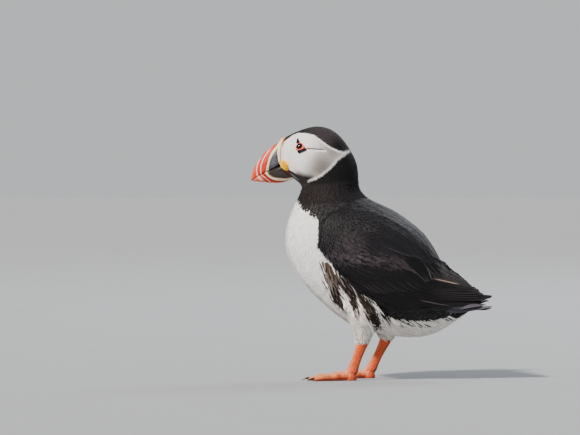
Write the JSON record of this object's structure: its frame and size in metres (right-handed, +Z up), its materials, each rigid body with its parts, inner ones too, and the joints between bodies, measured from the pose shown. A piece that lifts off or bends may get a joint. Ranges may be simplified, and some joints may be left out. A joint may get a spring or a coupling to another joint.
{
  "type": "atlantic puffin",
  "caption": "Still, life-size puffin standing on both webbed feet: upright black and white bird with folded wings, a deep banded orange bill and orange legs.",
  "frame": {"origin": "on the floor under the bird, midway between the bill's tip and the tail's tip", "axes": "+Z up, -Y the way the bird faces, +X its left side"},
  "size_m": [0.0976, 0.2096, 0.2206],
  "materials": {
    "black plumage": "matte feathers with a faint sheen",
    "white plumage": "matte feathers",
    "orange horn": "satin horn, grooved and banded",
    "cream horn": "satin horn",
    "slate horn": "satin horn",
    "dark horn": "satin horn",
    "orange skin": "satin scaled skin",
    "yellow skin": "satin wrinkled skin",
    "eye": "gloss"
  },
  "bodies": {
    "root": {"bill_lower": "orange horn", "bill_ridge": "cream horn", "bill_upper": "orange horn", "claw_inner_left": "dark horn", "claw_inner_right": "dark horn", "claw_middle_left": "dark horn", "claw_middle_right": "dark horn", "claw_outer_left": "dark horn", "claw_outer_right": "dark horn", "eye_left": "eye", "eye_plate_lower_left": "slate horn", "eye_plate_lower_right": "slate horn", "eye_plate_upper_left": "slate horn", "eye_plate_upper_right": "slate horn", "eye_right": "eye", "foot_left": "orange skin", "foot_right": "orange skin", "gape_rosette_left": "yellow skin", "gape_rosette_right": "yellow skin", "head": "white plumage", "leg_left": "orange skin", "leg_right": "orange skin", "mantle": "black plumage", "neck": "black plumage", "tail": "black plumage", "thigh_left": "white plumage", "thigh_right": "white plumage", "trunk": "white plumage", "wing_left": "black plumage", "wing_right": "black plumage"}
  },
  "joints": []
}
